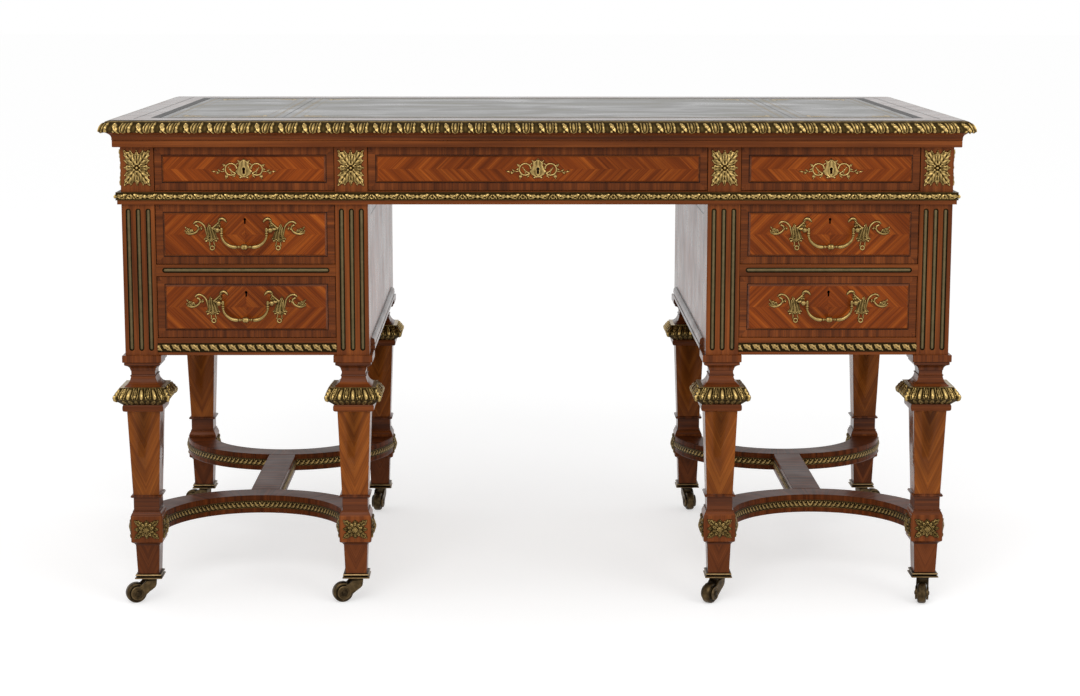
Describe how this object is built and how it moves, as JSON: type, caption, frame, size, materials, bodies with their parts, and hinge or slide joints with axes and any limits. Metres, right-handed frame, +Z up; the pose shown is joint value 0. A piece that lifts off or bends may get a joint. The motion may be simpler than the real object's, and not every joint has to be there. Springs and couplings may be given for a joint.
{
  "type": "kneehole pedestal desk",
  "caption": "Veneered kneehole writing desk with gilt mounts, fluted posts, tapered legs on casters, curved stretchers, leather top and sliding lockable drawers with swinging bails.",
  "frame": {"origin": "on the floor, at the middle of the desk's plan", "axes": "+Z up, +X to the right as seen from the front, +Y to the back; the front faces -Y"},
  "size_m": [1.3684, 0.7804, 0.7815],
  "materials": {
    "kingwood": "polished quarter-veneered kingwood and tulipwood",
    "crossbanding": "polished crossbanded kingwood",
    "leather": "dark tooled writing leather",
    "ormolu": "mercury-gilt bronze, dark in the recesses",
    "brass_inlay": "rubbed brass",
    "caster_brass": "dark worn brass",
    "steel": "dull steel"
  },
  "bodies": {
    "carcass": {"top_board": "crossbanding", "writing_leather": "leather", "top_edge_gadroon": "ormolu", "cornice": "crossbanding", "posts": "kingwood", "brass_flutes": "brass_inlay", "frieze_boards": "kingwood", "waist_band": "ormolu", "pedestal_panels": "kingwood", "drawer_rails": "crossbanding", "base_rope": "ormolu", "side_mouldings": "crossbanding", "rosettes": "ormolu", "leg_heads": "crossbanding", "leg_collars": "ormolu", "leg_shafts": "kingwood", "caster_caps": "caster_brass", "stretchers": "crossbanding", "stretcher_bands": "ormolu"},
    "drawer_frieze_centre": {"drawer_frieze_centre": "kingwood", "drawer_frieze_centre_fittings": "ormolu"},
    "drawer_frieze_left": {"drawer_frieze_left": "kingwood", "drawer_frieze_left_fittings": "ormolu"},
    "drawer_upper_left": {"drawer_upper_left": "kingwood", "drawer_upper_left_fittings": "ormolu"},
    "drawer_lower_left": {"drawer_lower_left": "kingwood", "drawer_lower_left_fittings": "ormolu"},
    "drawer_frieze_right": {"drawer_frieze_right": "kingwood", "drawer_frieze_right_fittings": "ormolu"},
    "drawer_upper_right": {"drawer_upper_right": "kingwood", "drawer_upper_right_fittings": "ormolu"},
    "drawer_lower_right": {"drawer_lower_right": "kingwood", "drawer_lower_right_fittings": "ormolu"},
    "bail_upper_left": {"bail_upper_left": "ormolu"},
    "bail_lower_left": {"bail_lower_left": "ormolu"},
    "bail_upper_right": {"bail_upper_right": "ormolu"},
    "bail_lower_right": {"bail_lower_right": "ormolu"},
    "caster_fork_front_left_outer": {"caster_fork_front_left_outer": "caster_brass"},
    "caster_fork_front_left_inner": {"caster_fork_front_left_inner": "caster_brass"},
    "caster_fork_front_right_outer": {"caster_fork_front_right_outer": "caster_brass"},
    "caster_fork_front_right_inner": {"caster_fork_front_right_inner": "caster_brass"},
    "caster_fork_rear_left_outer": {"caster_fork_rear_left_outer": "caster_brass"},
    "caster_fork_rear_left_inner": {"caster_fork_rear_left_inner": "caster_brass"},
    "caster_fork_rear_right_outer": {"caster_fork_rear_right_outer": "caster_brass"},
    "caster_fork_rear_right_inner": {"caster_fork_rear_right_inner": "caster_brass"},
    "lock_bolt_frieze_centre": {"lock_bolt_frieze_centre": "steel"},
    "lock_bolt_frieze_left": {"lock_bolt_frieze_left": "steel"},
    "lock_bolt_upper_left": {"lock_bolt_upper_left": "steel"},
    "lock_bolt_lower_left": {"lock_bolt_lower_left": "steel"},
    "lock_bolt_frieze_right": {"lock_bolt_frieze_right": "steel"},
    "lock_bolt_upper_right": {"lock_bolt_upper_right": "steel"},
    "lock_bolt_lower_right": {"lock_bolt_lower_right": "steel"},
    "caster_wheel_front_left_outer": {"caster_wheel_front_left_outer": "caster_brass"},
    "caster_wheel_front_left_inner": {"caster_wheel_front_left_inner": "caster_brass"},
    "caster_wheel_front_right_outer": {"caster_wheel_front_right_outer": "caster_brass"},
    "caster_wheel_front_right_inner": {"caster_wheel_front_right_inner": "caster_brass"},
    "caster_wheel_rear_left_outer": {"caster_wheel_rear_left_outer": "caster_brass"},
    "caster_wheel_rear_left_inner": {"caster_wheel_rear_left_inner": "caster_brass"},
    "caster_wheel_rear_right_outer": {"caster_wheel_rear_right_outer": "caster_brass"},
    "caster_wheel_rear_right_inner": {"caster_wheel_rear_right_inner": "caster_brass"}
  },
  "joints": [
    {"name": "frieze_centre_slide", "type": "slide", "parent": "carcass", "child": "drawer_frieze_centre", "axis": [0, -1, 0], "range_m": [0, 0.36]},
    {"name": "frieze_left_slide", "type": "slide", "parent": "carcass", "child": "drawer_frieze_left", "axis": [0, -1, 0], "range_m": [0, 0.38]},
    {"name": "upper_left_slide", "type": "slide", "parent": "carcass", "child": "drawer_upper_left", "axis": [0, -1, 0], "range_m": [0, 0.38]},
    {"name": "lower_left_slide", "type": "slide", "parent": "carcass", "child": "drawer_lower_left", "axis": [0, -1, 0], "range_m": [0, 0.38]},
    {"name": "frieze_right_slide", "type": "slide", "parent": "carcass", "child": "drawer_frieze_right", "axis": [0, -1, 0], "range_m": [0, 0.38]},
    {"name": "upper_right_slide", "type": "slide", "parent": "carcass", "child": "drawer_upper_right", "axis": [0, -1, 0], "range_m": [0, 0.38]},
    {"name": "lower_right_slide", "type": "slide", "parent": "carcass", "child": "drawer_lower_right", "axis": [0, -1, 0], "range_m": [0, 0.38]},
    {"name": "upper_left_bail_swing", "type": "hinge", "parent": "drawer_upper_left", "child": "bail_upper_left", "pos_m": [-0.461, -0.3765, 0.6098], "axis": [-1, 0, 0], "range_deg": [-12, 100]},
    {"name": "lower_left_bail_swing", "type": "hinge", "parent": "drawer_lower_left", "child": "bail_lower_left", "pos_m": [-0.461, -0.3765, 0.49405], "axis": [-1, 0, 0], "range_deg": [-12, 100]},
    {"name": "upper_right_bail_swing", "type": "hinge", "parent": "drawer_upper_right", "child": "bail_upper_right", "pos_m": [0.461, -0.3765, 0.6098], "axis": [-1, 0, 0], "range_deg": [-12, 100]},
    {"name": "lower_right_bail_swing", "type": "hinge", "parent": "drawer_lower_right", "child": "bail_lower_right", "pos_m": [0.461, -0.3765, 0.49405], "axis": [-1, 0, 0], "range_deg": [-12, 100]},
    {"name": "front_left_outer_swivel", "type": "hinge", "parent": "carcass", "child": "caster_fork_front_left_outer", "pos_m": [-0.6285, -0.3345, 0.041], "axis": [0, 0, 1], "continuous": true},
    {"name": "front_left_inner_swivel", "type": "hinge", "parent": "carcass", "child": "caster_fork_front_left_inner", "pos_m": [-0.2935, -0.3345, 0.041], "axis": [0, 0, 1], "continuous": true},
    {"name": "front_right_outer_swivel", "type": "hinge", "parent": "carcass", "child": "caster_fork_front_right_outer", "pos_m": [0.6285, -0.3345, 0.041], "axis": [0, 0, 1], "continuous": true},
    {"name": "front_right_inner_swivel", "type": "hinge", "parent": "carcass", "child": "caster_fork_front_right_inner", "pos_m": [0.2935, -0.3345, 0.041], "axis": [0, 0, 1], "continuous": true},
    {"name": "rear_left_outer_swivel", "type": "hinge", "parent": "carcass", "child": "caster_fork_rear_left_outer", "pos_m": [-0.6285, 0.3345, 0.041], "axis": [0, 0, 1], "continuous": true},
    {"name": "rear_left_inner_swivel", "type": "hinge", "parent": "carcass", "child": "caster_fork_rear_left_inner", "pos_m": [-0.2935, 0.3345, 0.041], "axis": [0, 0, 1], "continuous": true},
    {"name": "rear_right_outer_swivel", "type": "hinge", "parent": "carcass", "child": "caster_fork_rear_right_outer", "pos_m": [0.6285, 0.3345, 0.041], "axis": [0, 0, 1], "continuous": true},
    {"name": "rear_right_inner_swivel", "type": "hinge", "parent": "carcass", "child": "caster_fork_rear_right_inner", "pos_m": [0.2935, 0.3345, 0.041], "axis": [0, 0, 1], "continuous": true},
    {"name": "frieze_centre_lock_bolt", "type": "slide", "parent": "drawer_frieze_centre", "child": "lock_bolt_frieze_centre", "axis": [0, 0, 1], "range_m": [0, 0.008]},
    {"name": "frieze_left_lock_bolt", "type": "slide", "parent": "drawer_frieze_left", "child": "lock_bolt_frieze_left", "axis": [0, 0, 1], "range_m": [0, 0.008]},
    {"name": "upper_left_lock_bolt", "type": "slide", "parent": "drawer_upper_left", "child": "lock_bolt_upper_left", "axis": [0, 0, 1], "range_m": [0, 0.008]},
    {"name": "lower_left_lock_bolt", "type": "slide", "parent": "drawer_lower_left", "child": "lock_bolt_lower_left", "axis": [0, 0, 1], "range_m": [0, 0.008]},
    {"name": "frieze_right_lock_bolt", "type": "slide", "parent": "drawer_frieze_right", "child": "lock_bolt_frieze_right", "axis": [0, 0, 1], "range_m": [0, 0.008]},
    {"name": "upper_right_lock_bolt", "type": "slide", "parent": "drawer_upper_right", "child": "lock_bolt_upper_right", "axis": [0, 0, 1], "range_m": [0, 0.008]},
    {"name": "lower_right_lock_bolt", "type": "slide", "parent": "drawer_lower_right", "child": "lock_bolt_lower_right", "axis": [0, 0, 1], "range_m": [0, 0.008]},
    {"name": "front_left_outer_wheel_spin", "type": "hinge", "parent": "caster_fork_front_left_outer", "child": "caster_wheel_front_left_outer", "pos_m": [-0.65025, -0.34464, 0.0168], "axis": [0.4226, -0.9063, 0], "continuous": true},
    {"name": "front_left_inner_wheel_spin", "type": "hinge", "parent": "caster_fork_front_left_inner", "child": "caster_wheel_front_left_inner", "pos_m": [-0.31605, -0.34271, 0.0168], "axis": [0.342, -0.9397, 0], "continuous": true},
    {"name": "front_right_outer_wheel_spin", "type": "hinge", "parent": "caster_fork_front_right_outer", "child": "caster_wheel_front_right_outer", "pos_m": [0.62351, -0.35798, 0.0168], "axis": [0.9781, -0.2079, 0], "continuous": true},
    {"name": "front_right_inner_wheel_spin", "type": "hinge", "parent": "caster_fork_front_right_inner", "child": "caster_wheel_front_right_inner", "pos_m": [0.27973, -0.35416, 0.0168], "axis": [0.8192, -0.5736, 0], "continuous": true},
    {"name": "rear_left_outer_wheel_spin", "type": "hinge", "parent": "caster_fork_rear_left_outer", "child": "caster_wheel_rear_left_outer", "pos_m": [-0.65105, 0.34271, 0.0168], "axis": [-0.342, -0.9397, 0], "continuous": true},
    {"name": "rear_left_inner_wheel_spin", "type": "hinge", "parent": "caster_fork_rear_left_inner", "child": "caster_wheel_rear_left_inner", "pos_m": [-0.29684, 0.31073, 0.0168], "axis": [0.9903, -0.1392, 0], "continuous": true},
    {"name": "rear_right_outer_wheel_spin", "type": "hinge", "parent": "caster_fork_rear_right_outer", "child": "caster_wheel_rear_right_outer", "pos_m": [0.65105, 0.34271, 0.0168], "axis": [-0.342, 0.9397, 0], "continuous": true},
    {"name": "rear_right_inner_wheel_spin", "type": "hinge", "parent": "caster_fork_rear_right_inner", "child": "caster_wheel_rear_right_inner", "pos_m": [0.29684, 0.31073, 0.0168], "axis": [0.9903, 0.1392, 0], "continuous": true}
  ]
}
